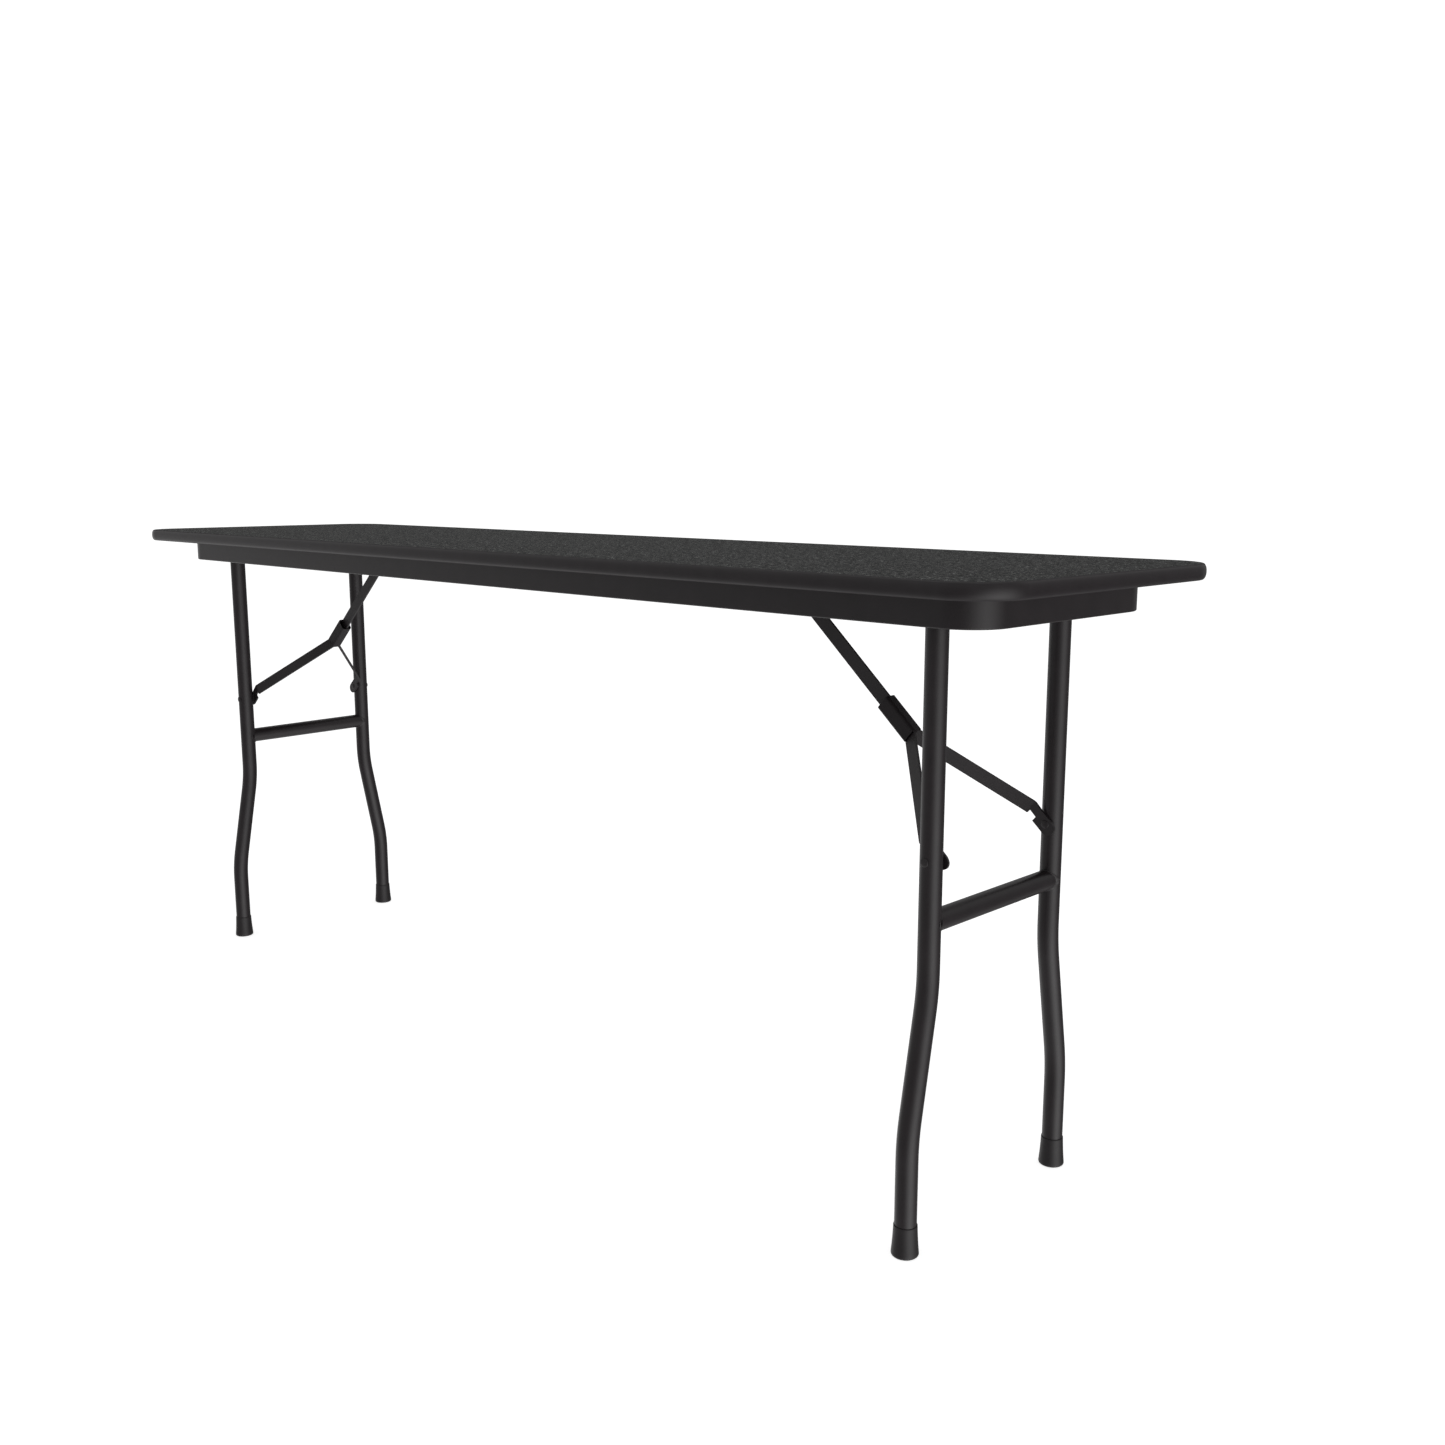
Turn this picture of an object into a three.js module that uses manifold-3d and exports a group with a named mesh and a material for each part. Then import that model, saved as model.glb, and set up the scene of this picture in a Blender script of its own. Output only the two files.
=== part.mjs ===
// Rectangular folding table on two folding tube frames, in millimetres.
// The origin is on the floor under the middle of the top. +X runs along the length, +Y across the
// width away from the front edge, +Z up. The table stands open, with its legs upright.
import * as THREE from 'three';
import { mergeVertices } from 'three/addons/utils/BufferGeometryUtils.js';
import Module from 'manifold-3d';

const wasm = await Module();
wasm.setup();

// ---- Driving dimensions ----
const LENGTH = 1829;
const WIDTH = 462;
const HEIGHT = 748.4;
const TOP_THICKNESS = 18.2;
const TOP_CORNER = 63;
const GAP = 0.3; // between pieces that touch

// Layers of the top
const LAMINATE = 0.9;
const BACKER = 0.9;
const BAND_WIDTH = 5;
const BULLNOSE_INSET = 4.2;
const BULLNOSE_FLAT = 2;
const TONGUE_THICKNESS = 2.2;
const TONGUE_DEPTH = 8;

// Sheet-steel apron under the top
const APRON_INSET_X = 54.9;
const APRON_INSET_Y = 62.6;
const APRON_CORNER = 48;
const APRON_DEPTH = 53; // from the top surface down to the apron's lower edge
const APRON_SHEET = 1.2;
const APRON_FLANGE = 12;
const APRON_HEM = 4;
const SPLICE_FROM_CORNER = 12;
const SPLICE_TOWARDS_CORNER = 10;
const SPLICE_AWAY = 34;
const SPLICE_HEIGHT = 22;
const SPLICE_SHEET = 1.5;

// Folding leg frames
const LEG_X = 772.9;
const LEG_Y_UPPER = 118.2;
const LEG_Y_LOWER = 147.9;
const BEND_Z_UPPER = 297.1;
const BEND_Z_LOWER = 134.7;
const BEND_REACH = 24;
const TUBE_R = 12.5;
const TUBE_WALL = 1.4;
const CROSSBAR_Z = 373.3;
const PIVOT_Z = 713;
const RAIL_R = 11;
const RAIL_HALF = 150;
const LEG_TOP_Z = 706;
const LEG_BOTTOM_Z = 5;
const CAP_BASE_R = 13.6;
const CAP_OUTSIDE = [[14.9, 1.2], [15.2, 3.5], [14.2, 17], [13.5, 33.5], [13.4, 36]]; // radius, height
const RIVET_Z = 442;

// Folding brace in each frame: one upper strut, two lower arms and a lock ring over the knuckle
const BRACE_ANGLE = THREE.MathUtils.degToRad(41.4);
const STRIP_WIDTH = 18;
const STRIP_THICKNESS = 3;
const FLARE_START = 27.8; // along the arm from the knuckle pin
const ARM_TAB_Y = 103.3; // middle of the tab that meets the leg
const TAB_LENGTH = 27.4;
const TAB_R = 10.3;
const NOTCH_DEPTH = 6;
const NOTCH_LENGTH = 11.5;
const NOTCH_SLANT = 1.5;
const RELIEF_DEPTH = 3.7;
const RELIEF_START = 1.5;
const RELIEF_END = 30;
const PIN_R = 3;
const PIN_HEAD_R = 5;
const PIN_HEAD_HEIGHT = 1.7;
const RIVET_HEAD_R = 5.5;
const RIVET_HEAD_HEIGHT = 2.2;
const RING_HEIGHT = 21.4;
const RING_WIDTH = 17.4;
const RING_WALL = 1;
const RING_CORNER = 4;
const RING_ABOVE_PIN = 24.3;
const RING_BELOW_PIN = 29.4;

// Brackets and screws
const BRACKET_SHEET = 1.6;
const BRACKET_WIDTH = 16;
const BRACKET_Y = 140.5;
const BRACKET_FLANGE = 14;
const CLEVIS_EAR = 2;
const CLEVIS_EAR_R = 9;
const CLEVIS_PLATE = 2;
const CLEVIS_HALF_WIDTH = 15;
const CLEVIS_REACH_BACK = 11;
const CLEVIS_REACH_FRONT = 47;
const CLEVIS_SCREWS = [20, 38]; // from the strut pin, towards the leg
const SCREW_SHANK_R = 1.8;
const SCREW_HEAD_R = 4;
const SCREW_HEAD_HEIGHT = 2.1;
const SCREW_LENGTH = 12;
const APRON_SCREW_X = 0;

// Roundness of the solids
const TUBE_SIDES = 14;
const SMALL_SIDES = 8;
const CORNER_STEPS = SMALL_SIDES / 2; // an arc gets twice as many sides as steps
const RING_CORNER_STEPS = 3;
const BEND_STEPS = 3;

// ---- Worked-out places ----
const HALF_LENGTH = LENGTH / 2;
const HALF_WIDTH = WIDTH / 2;
const UNDERSIDE = HEIGHT - TOP_THICKNESS;
const FIXING_Z = UNDERSIDE - GAP; // where sheet steel is screwed up against the underside
const APRON_HALF_X = HALF_LENGTH - APRON_INSET_X;
const APRON_HALF_Y = HALF_WIDTH - APRON_INSET_Y;
const APRON_BOTTOM = HEIGHT - APRON_DEPTH;
const PIVOT_TO_RIVET = PIVOT_Z - RIVET_Z;
const STRUT_PIN_X = LEG_X - PIVOT_TO_RIVET / Math.tan(BRACE_ANGLE);
// Open, the strut and arms lie in one line; folded, the arms lie back along the strut.
const BRACE_LENGTH = PIVOT_TO_RIVET / Math.sin(BRACE_ANGLE);
const FOLDED_SPAN = LEG_X - PIVOT_TO_RIVET - STRUT_PIN_X;
const ARM_LENGTH = (BRACE_LENGTH - FOLDED_SPAN) / 2;
const STRUT_LENGTH = BRACE_LENGTH - ARM_LENGTH;
const STRIP_HALF = STRIP_WIDTH / 2;
const ARM_Y = STRIP_THICKNESS + GAP; // middle of an arm where it lies against the strut
const FLARE_END = ARM_LENGTH - TAB_LENGTH;

// ---- Finishes ----
const finish = (color, roughness, metalness) => new THREE.MeshStandardMaterial({ color, roughness, metalness });
const FINISHES = {
  laminate: () => finish(0x33363a, 0.55, 0),
  board: () => finish(0xa98a62, 0.9, 0),
  backer: () => finish(0x2a2623, 0.8, 0),
  vinyl: () => finish(0x262425, 0.35, 0),
  powderCoat: () => finish(0x2a2829, 0.4, 0.3),
  ring: () => finish(0x1e1c1d, 0.5, 0.2),
  cap: () => finish(0x1b1a1a, 0.55, 0),
  zinc: () => finish(0x9a9a96, 0.35, 0.9),
};

const ROWS = [['front', -1], ['back', 1]];
const table = new THREE.Group();

function add(name, geometry, finishName) {
  const mesh = new THREE.Mesh(geometry, FINISHES[finishName]());
  mesh.name = name;
  table.add(mesh);
}

// ---- Solids from shapes ----
function solid(geometry) {
  const bare = geometry.clone();
  bare.deleteAttribute('normal');
  bare.deleteAttribute('uv');
  const merged = mergeVertices(bare);
  return new wasm.Manifold(new wasm.Mesh({
    numProp: 3,
    vertProperties: merged.attributes.position.array,
    triVerts: new Uint32Array(merged.index.array),
  }));
}

function geometryOf(body) {
  const mesh = body.getMesh();
  const geometry = new THREE.BufferGeometry();
  geometry.setAttribute('position', new THREE.BufferAttribute(new Float32Array(mesh.vertProperties), 3));
  geometry.setIndex(new THREE.BufferAttribute(new Uint32Array(mesh.triVerts), 1));
  geometry.computeVertexNormals();
  return geometry;
}

function roundedRectangle(halfX, halfY, radius) {
  const shape = new THREE.Shape();
  shape.absarc(halfX - radius, halfY - radius, radius, 0, Math.PI / 2, false);
  shape.absarc(-halfX + radius, halfY - radius, radius, Math.PI / 2, Math.PI, false);
  shape.absarc(-halfX + radius, -halfY + radius, radius, Math.PI, 1.5 * Math.PI, false);
  shape.absarc(halfX - radius, -halfY + radius, radius, 1.5 * Math.PI, 2 * Math.PI, false);
  shape.closePath();
  return shape;
}

function prism(shape, low, high, steps = CORNER_STEPS) {
  const geometry = new THREE.ExtrudeGeometry(shape, {
    depth: high - low,
    bevelEnabled: false,
    curveSegments: steps,
  });
  return geometry.translate(0, 0, low);
}

// A plate standing in a plane of constant y: the outline's x and y become x and z.
function uprightPlate(shape, lowY, highY, steps = CORNER_STEPS) {
  return prism(shape, -highY, -lowY, steps).rotateX(Math.PI / 2);
}

function box(low, high) {
  const size = high.map((value, axis) => value - low[axis]);
  const middle = high.map((value, axis) => (value + low[axis]) / 2);
  return new THREE.BoxGeometry(...size).translate(...middle);
}

// A solid rod wide enough for its flats, not just its corners, to clear the radius.
function cutter(radius, length, sides) {
  return new THREE.CylinderGeometry(radius / Math.cos(Math.PI / sides), radius / Math.cos(Math.PI / sides), length, sides);
}

function ringSection(outer, inner) {
  const shape = new THREE.Shape();
  shape.absarc(0, 0, outer, 0, 2 * Math.PI, false);
  const hole = new THREE.Path();
  hole.absarc(0, 0, inner, 0, 2 * Math.PI, true);
  shape.holes.push(hole);
  return shape;
}

// A tube through the given stations, one step to each station.
class StationPath extends THREE.Curve {
  constructor(points) {
    super();
    this.points = points;
  }

  getPoint(t) {
    const reach = THREE.MathUtils.clamp(t, 0, 1) * (this.points.length - 1);
    const index = Math.min(Math.floor(reach), this.points.length - 2);
    return this.points[index].clone().lerp(this.points[index + 1], reach - index);
  }

  getPointAt(u) {
    return this.getPoint(u);
  }

  getTangentAt(u) {
    return this.getTangent(u);
  }
}

function tube(points, outer, wall) {
  return new THREE.ExtrudeGeometry(ringSection(outer, outer - wall), {
    steps: points.length - 1,
    curveSegments: TUBE_SIDES / 2,
    extrudePath: new StationPath(points),
  });
}

function lathe(profile, sides = SMALL_SIDES) {
  return new THREE.LatheGeometry(profile.map(([radius, along]) => new THREE.Vector2(radius, along)), sides);
}

// ---- Screws: one pan head and shank, driven up into the board ----
const screwPlaces = [];
function screw(name, x, y, headTop) {
  screwPlaces.push([x, y]);
  const profile = [
    [0, -SCREW_HEAD_HEIGHT],
    [SCREW_HEAD_R * 0.6, -SCREW_HEAD_HEIGHT],
    [SCREW_HEAD_R, -SCREW_HEAD_HEIGHT * 0.45],
    [SCREW_HEAD_R, 0],
    [SCREW_SHANK_R, 0],
    [SCREW_SHANK_R, SCREW_LENGTH - SCREW_SHANK_R],
    [0, SCREW_LENGTH],
  ];
  add(name, lathe(profile).rotateX(Math.PI / 2).translate(x, y, headTop), 'zinc');
}

const SCREW_HOLE_R = SCREW_SHANK_R + GAP / 2;
const SCREW_HOLE_TOP = UNDERSIDE + SCREW_LENGTH;
function screwHole(x, y) {
  const length = SCREW_HOLE_TOP - PIVOT_Z;
  const hole = cutter(SCREW_HOLE_R, length, SMALL_SIDES).rotateX(Math.PI / 2);
  return solid(hole.translate(x, y, PIVOT_Z + length / 2));
}

function drilled(body, places) {
  return places.reduce((rest, [x, y]) => rest.subtract(screwHole(x, y)), body);
}

// ---- Apron: two bent rails, joined by riveted splice plates inside ----
function apronRing(inset, low, high) {
  const outer = roundedRectangle(APRON_HALF_X, APRON_HALF_Y, APRON_CORNER);
  outer.holes.push(roundedRectangle(APRON_HALF_X - inset, APRON_HALF_Y - inset, APRON_CORNER - inset));
  return solid(prism(outer, low, high));
}

const apronScrewY = APRON_HALF_Y - APRON_FLANGE / 2;
const apronScrews = [[APRON_SCREW_X, -apronScrewY], [APRON_SCREW_X, apronScrewY]];
for (const [index, [x, y]] of apronScrews.entries()) {
  screw(`apron_${ROWS[index][0]}_screw`, x, y, FIXING_Z - APRON_SHEET - GAP);
}

const apronLoop = apronRing(APRON_SHEET, APRON_BOTTOM, FIXING_Z)
  .add(apronRing(APRON_FLANGE, FIXING_Z - APRON_SHEET, FIXING_Z))
  .add(apronRing(APRON_HEM, APRON_BOTTOM, APRON_BOTTOM + APRON_SHEET));
const drilledApron = drilled(apronLoop, apronScrews);
const spliceX = APRON_HALF_X - APRON_CORNER - SPLICE_FROM_CORNER;
const spliceY = -APRON_HALF_Y + APRON_CORNER + SPLICE_FROM_CORNER;
function backRegion(shift) {
  return solid(box([-LENGTH, spliceY - shift, 0], [spliceX + shift, WIDTH, HEIGHT]));
}
add('apron_back_rail', geometryOf(drilledApron.intersect(backRegion(-GAP / 2))), 'powderCoat');
add('apron_front_rail', geometryOf(drilledApron.subtract(backRegion(GAP / 2))), 'powderCoat');

const spliceMiddle = (APRON_BOTTOM + FIXING_Z) / 2;
const spliceLow = spliceMiddle - SPLICE_HEIGHT / 2;
const spliceHigh = spliceMiddle + SPLICE_HEIGHT / 2;
const spliceDepth = APRON_SHEET + GAP;
add('apron_splice_back', box(
  [spliceX - SPLICE_AWAY, APRON_HALF_Y - spliceDepth - SPLICE_SHEET, spliceLow],
  [spliceX + SPLICE_TOWARDS_CORNER, APRON_HALF_Y - spliceDepth, spliceHigh],
), 'powderCoat');
add('apron_splice_left', box(
  [-APRON_HALF_X + spliceDepth, spliceY - SPLICE_TOWARDS_CORNER, spliceLow],
  [-APRON_HALF_X + spliceDepth + SPLICE_SHEET, spliceY + SPLICE_AWAY, spliceHigh],
), 'powderCoat');

// ---- Leg frames ----
// Rounds each bend of a leg off with a quadratic curve.
function legStations(x, side) {
  const upper = new THREE.Vector3(x, side * LEG_Y_UPPER, BEND_Z_UPPER);
  const lower = new THREE.Vector3(x, side * LEG_Y_LOWER, BEND_Z_LOWER);
  const slant = lower.clone().sub(upper).normalize().multiplyScalar(BEND_REACH);
  const upright = new THREE.Vector3(0, 0, BEND_REACH);
  const bends = [
    [upper.clone().add(upright), upper, upper.clone().add(slant)],
    [lower.clone().sub(slant), lower, lower.clone().sub(upright)],
  ];
  const curves = bends.flatMap((points) => new THREE.QuadraticBezierCurve3(...points).getPoints(BEND_STEPS));
  const top = new THREE.Vector3(x, side * LEG_Y_UPPER, LEG_TOP_Z);
  const bottom = new THREE.Vector3(x, side * LEG_Y_LOWER, LEG_BOTTOM_Z);
  return [top, ...curves, bottom];
}

// The cap's bore closes over the tube's end; its foot flares towards the floor.
function footCap(x, y) {
  const bore = (TUBE_R + GAP / 2) / Math.cos(Math.PI / TUBE_SIDES);
  const rim = CAP_OUTSIDE.at(-1)[1];
  const floor = LEG_BOTTOM_Z - GAP;
  const profile = [[0, 0], [CAP_BASE_R, 0], ...CAP_OUTSIDE, [bore, rim], [bore, floor], [0, floor]];
  return lathe(profile, TUBE_SIDES).rotateX(Math.PI / 2).translate(x, y, 0);
}

// A pin along Y with a head at each end that has a height.
function pinAlongY(x, z, lowY, highY, headR, lowHead, highHead) {
  const profile = [[0, lowY - lowHead]];
  if (lowHead > 0) {
    profile.push([headR * 0.65, lowY - lowHead], [headR, lowY - lowHead * 0.4], [headR, lowY]);
  }
  profile.push([PIN_R, lowY], [PIN_R, highY]);
  if (highHead > 0) {
    profile.push([headR, highY], [headR, highY + highHead * 0.4], [headR * 0.65, highY + highHead]);
  }
  profile.push([0, highY + highHead]);
  return lathe(profile).translate(x, 0, z);
}

// A thin strap screwed up under the top, in which the frame's rail turns.
function pivotBracket(x, y) {
  const bore = RAIL_R + 0.35;
  const outside = bore + BRACKET_SHEET;
  const reach = outside + BRACKET_FLANGE;
  const top = FIXING_Z - PIVOT_Z;
  const strap = new THREE.Shape();
  strap.moveTo(-reach, top - BRACKET_SHEET);
  strap.lineTo(-outside, top - BRACKET_SHEET);
  strap.absarc(0, 0, outside, Math.PI, 2 * Math.PI, false);
  strap.lineTo(outside, top - BRACKET_SHEET);
  strap.lineTo(reach, top - BRACKET_SHEET);
  strap.lineTo(reach, top);
  strap.lineTo(bore, top);
  strap.absarc(0, 0, bore, 2 * Math.PI, Math.PI, true);
  strap.lineTo(-bore, top);
  strap.lineTo(-reach, top);
  strap.closePath();
  const plate = uprightPlate(strap, -BRACKET_WIDTH / 2, BRACKET_WIDTH / 2);
  return plate.translate(x, y, PIVOT_Z);
}

function legFrame(frame, end) {
  const x = end * LEG_X;
  const railHole = solid(cutter(RAIL_R + GAP, 2 * RAIL_HALF, TUBE_SIDES).translate(x, 0, PIVOT_Z));
  const rivetHole = solid(cutter(PIN_R + GAP, 2 * RAIL_HALF, SMALL_SIDES).translate(x, 0, RIVET_Z));
  for (const [row, side] of ROWS) {
    const leg = solid(tube(legStations(x, side), TUBE_R, TUBE_WALL));
    add(`${frame}_${row}_leg`, geometryOf(leg.subtract(railHole).subtract(rivetHole)), 'powderCoat');
    add(`${frame}_${row}_foot_cap`, footCap(x, side * LEG_Y_LOWER), 'cap');
    // The rivet ends flush inside the leg, so that the arm's tab can pass it while the frame folds.
    const ends = [LEG_Y_UPPER - TUBE_R + GAP, LEG_Y_UPPER + TUBE_R + GAP].map((y) => side * y);
    const heads = side > 0 ? [0, RIVET_HEAD_HEIGHT] : [RIVET_HEAD_HEIGHT, 0];
    add(`${frame}_${row}_leg_rivet`, pinAlongY(
      x, RIVET_Z, Math.min(...ends), Math.max(...ends), RIVET_HEAD_R, ...heads,
    ), 'powderCoat');
    const bracketY = side * BRACKET_Y;
    const holes = [-1, 1].map((way) => [
      x + way * (RAIL_R + 0.35 + BRACKET_SHEET + BRACKET_FLANGE / 2), bracketY,
    ]);
    const bracket = drilled(solid(pivotBracket(x, bracketY)), holes);
    add(`${frame}_${row}_pivot_bracket`, geometryOf(bracket), 'powderCoat');
    for (const [index, [screwX, screwY]] of holes.entries()) {
      screw(`${frame}_${row}_bracket_screw_${index + 1}`, screwX, screwY, FIXING_Z - BRACKET_SHEET - GAP);
    }
  }
  const across = (half, z) => [-half, half].map((y) => new THREE.Vector3(x, y, z));
  add(`${frame}_pivot_rail`, tube(across(RAIL_HALF, PIVOT_Z), RAIL_R, TUBE_WALL), 'powderCoat');
  let crossbar = solid(tube(across(LEG_Y_UPPER, CROSSBAR_Z), TUBE_R, TUBE_WALL));
  for (const side of [-1, 1]) {
    const leg = cutter(TUBE_R + GAP, 100, TUBE_SIDES).rotateX(Math.PI / 2);
    crossbar = crossbar.subtract(solid(leg.translate(x, side * LEG_Y_UPPER, CROSSBAR_Z)));
  }
  add(`${frame}_crossbar`, geometryOf(crossbar), 'powderCoat');
}

// ---- Folding braces ----
// The brace is drawn along +X from its knuckle pin, then turned into the frame's slope.
function placeInBrace(geometry, end) {
  const knuckleX = LEG_X - ARM_LENGTH * Math.cos(BRACE_ANGLE);
  const knuckleZ = RIVET_Z + ARM_LENGTH * Math.sin(BRACE_ANGLE);
  geometry.rotateY(BRACE_ANGLE).translate(knuckleX, 0, knuckleZ);
  return end > 0 ? geometry : geometry.rotateZ(Math.PI);
}

function strutOutline() {
  const shape = new THREE.Shape();
  shape.absarc(-STRUT_LENGTH, 0, STRIP_HALF, Math.PI / 2, 1.5 * Math.PI, false);
  shape.absarc(0, 0, STRIP_HALF, -Math.PI / 2, Math.PI / 2, false);
  shape.closePath();
  for (const x of [-STRUT_LENGTH, 0]) {
    const hole = new THREE.Path();
    hole.absarc(x, 0, (PIN_R + GAP / 2) / Math.cos(Math.PI / SMALL_SIDES), 0, 2 * Math.PI, true);
    shape.holes.push(hole);
  }
  return shape;
}

// Seen from the side, an arm has a relief that lets it start to turn inside the ring, and a
// notch where its tab is bent.
function armOutline() {
  const notchStart = FLARE_END + NOTCH_SLANT;
  const notchEnd = notchStart + NOTCH_LENGTH;
  const shape = new THREE.Shape();
  shape.absarc(0, 0, STRIP_HALF, Math.PI / 2, 1.5 * Math.PI, false);
  shape.lineTo(RELIEF_START, -STRIP_HALF);
  shape.quadraticCurveTo(
    (RELIEF_START + RELIEF_END) / 2, -STRIP_HALF + 2 * RELIEF_DEPTH, RELIEF_END, -STRIP_HALF,
  );
  shape.lineTo(FLARE_END, -STRIP_HALF);
  shape.lineTo(notchStart, -STRIP_HALF + NOTCH_DEPTH);
  shape.lineTo(notchEnd, -STRIP_HALF + NOTCH_DEPTH);
  shape.lineTo(notchEnd, -TAB_R);
  shape.absarc(ARM_LENGTH, 0, TAB_R, -Math.PI / 2, Math.PI / 2, false);
  shape.closePath();
  for (const x of [0, ARM_LENGTH]) {
    const hole = new THREE.Path();
    hole.absarc(x, 0, (PIN_R + GAP / 2) / Math.cos(Math.PI / SMALL_SIDES), 0, 2 * Math.PI, true);
    shape.holes.push(hole);
  }
  return shape;
}

// Seen from above, an arm runs beside the strut, flares out, and ends in a tab along the leg.
function armPlan(side) {
  const run = FLARE_END - FLARE_START;
  const rise = ARM_TAB_Y - ARM_Y;
  const half = STRIP_THICKNESS / 2;
  const miter = half * Math.tan(Math.atan2(rise, run) / 2);
  const start = -STRIP_WIDTH;
  const finishX = ARM_LENGTH + STRIP_WIDTH;
  const points = [
    [start, ARM_Y - half],
    [FLARE_START + miter, ARM_Y - half],
    [FLARE_END + miter, ARM_TAB_Y - half],
    [finishX, ARM_TAB_Y - half],
    [finishX, ARM_TAB_Y + half],
    [FLARE_END - miter, ARM_TAB_Y + half],
    [FLARE_START - miter, ARM_Y + half],
    [start, ARM_Y + half],
  ].map(([x, y]) => new THREE.Vector2(x, side * y));
  return new THREE.Shape(side > 0 ? points : points.reverse());
}

function brace(frame, end) {
  const half = STRIP_THICKNESS / 2;
  const strut = uprightPlate(strutOutline(), -half, half);
  add(`${frame}_upper_strut`, placeInBrace(strut, end), 'powderCoat');
  const reach = ARM_TAB_Y + STRIP_WIDTH; // past the tabs
  for (const [row, side] of ROWS) {
    const strip = solid(prism(armPlan(side), -STRIP_WIDTH, STRIP_WIDTH));
    const profile = solid(uprightPlate(armOutline(), -reach, reach));
    const arm = geometryOf(strip.intersect(profile));
    const armName = `${frame}_${end * side > 0 ? 'back' : 'front'}`;
    add(`${armName}_lower_arm`, placeInBrace(arm, end), 'powderCoat');
    // The inner head of the leg rivet, with the part of its shank that fills the tab's hole.
    const shank = [ARM_TAB_Y - half - GAP, ARM_TAB_Y + half].map((y) => side * y);
    const heads = side > 0 ? [RIVET_HEAD_HEIGHT, 0] : [0, RIVET_HEAD_HEIGHT];
    const rivetHead = pinAlongY(ARM_LENGTH, 0, Math.min(...shank), Math.max(...shank), RIVET_HEAD_R, ...heads);
    add(`${armName}_arm_rivet_head`, placeInBrace(rivetHead, end), 'powderCoat');
  }
  const grip = ARM_Y + half + GAP;
  const knucklePin = pinAlongY(
    0, 0, -grip, grip, PIN_HEAD_R, PIN_HEAD_HEIGHT, PIN_HEAD_HEIGHT,
  );
  add(`${frame}_knuckle_rivet`, placeInBrace(knucklePin, end), 'powderCoat');

  const ring = roundedRectangle(RING_WIDTH / 2, RING_HEIGHT / 2, RING_CORNER);
  ring.holes.push(roundedRectangle(
    RING_WIDTH / 2 - RING_WALL, RING_HEIGHT / 2 - RING_WALL, RING_CORNER - RING_WALL,
  ));
  const sleeve = prism(ring, -RING_ABOVE_PIN, RING_BELOW_PIN, RING_CORNER_STEPS);
  // The ring's height stands along the strip's width, and its length lies along the brace.
  sleeve.rotateX(Math.PI / 2).rotateZ(Math.PI / 2);
  add(`${frame}_lock_ring`, placeInBrace(sleeve, end), 'ring');
}

// The clevis holds the strut's upper pin between two ears under a screwed plate.
function clevis(frame, end) {
  const pinX = end * STRUT_PIN_X;
  const ends = [pinX - end * CLEVIS_REACH_BACK, pinX + end * CLEVIS_REACH_FRONT];
  const plateBottom = FIXING_Z - CLEVIS_PLATE;
  let body = solid(box(
    [Math.min(...ends), -CLEVIS_HALF_WIDTH, plateBottom],
    [Math.max(...ends), CLEVIS_HALF_WIDTH, FIXING_Z],
  ));
  const ear = new THREE.Shape();
  ear.moveTo(CLEVIS_EAR_R, plateBottom + 1 - PIVOT_Z);
  ear.lineTo(-CLEVIS_EAR_R, plateBottom + 1 - PIVOT_Z);
  ear.absarc(0, 0, CLEVIS_EAR_R, Math.PI, 2 * Math.PI, false);
  ear.closePath();
  const inner = STRIP_THICKNESS / 2 + 2 * GAP;
  for (const side of [-1, 1]) {
    const faces = [side * inner, side * (inner + CLEVIS_EAR)];
    const plate = uprightPlate(ear, Math.min(...faces), Math.max(...faces));
    body = body.add(solid(plate.translate(pinX, 0, PIVOT_Z)));
  }
  body = body.subtract(solid(cutter(PIN_R + GAP / 2, 60, SMALL_SIDES).translate(pinX, 0, PIVOT_Z)));
  const holes = CLEVIS_SCREWS.map((reach) => [pinX + end * reach, 0]);
  add(`${frame}_strut_bracket`, geometryOf(drilled(body, holes)), 'powderCoat');
  for (const [index, [x, y]] of holes.entries()) {
    screw(`${frame}_strut_bracket_screw_${index + 1}`, x, y, plateBottom - GAP);
  }
  const grip = inner + CLEVIS_EAR + GAP;
  add(`${frame}_strut_pin`, pinAlongY(
    pinX, PIVOT_Z, -grip, grip, PIN_HEAD_R, PIN_HEAD_HEIGHT, PIN_HEAD_HEIGHT,
  ), 'powderCoat');
}

for (const [frame, end] of [['right', 1], ['left', -1]]) {
  legFrame(frame, end);
  brace(frame, end);
  clevis(frame, end);
}

// ---- Top: board with a laminate above, a backer below and a T-shaped vinyl band around ----
function inOutline(inset, low, high) {
  return solid(prism(roundedRectangle(HALF_LENGTH - inset, HALF_WIDTH - inset, TOP_CORNER - inset), low, high));
}

const bevelHeight = (TOP_THICKNESS - BULLNOSE_FLAT) / 2;
const bullnoseSlab = new THREE.ExtrudeGeometry(roundedRectangle(HALF_LENGTH, HALF_WIDTH, TOP_CORNER), {
  depth: BULLNOSE_FLAT,
  bevelThickness: bevelHeight,
  bevelSize: BULLNOSE_INSET,
  bevelOffset: -BULLNOSE_INSET,
  bevelSegments: 2,
  curveSegments: CORNER_STEPS,
}).translate(0, 0, UNDERSIDE + bevelHeight);
const middleZ = UNDERSIDE + TOP_THICKNESS / 2;
const tongue = inOutline(BAND_WIDTH - 1, middleZ - TONGUE_THICKNESS / 2, middleZ + TONGUE_THICKNESS / 2)
  .subtract(inOutline(BAND_WIDTH + TONGUE_DEPTH, 0, HEIGHT));
const band = solid(bullnoseSlab).subtract(inOutline(BAND_WIDTH, 0, 2 * HEIGHT)).add(tongue);
add('edge_band', geometryOf(band), 'vinyl');

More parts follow.
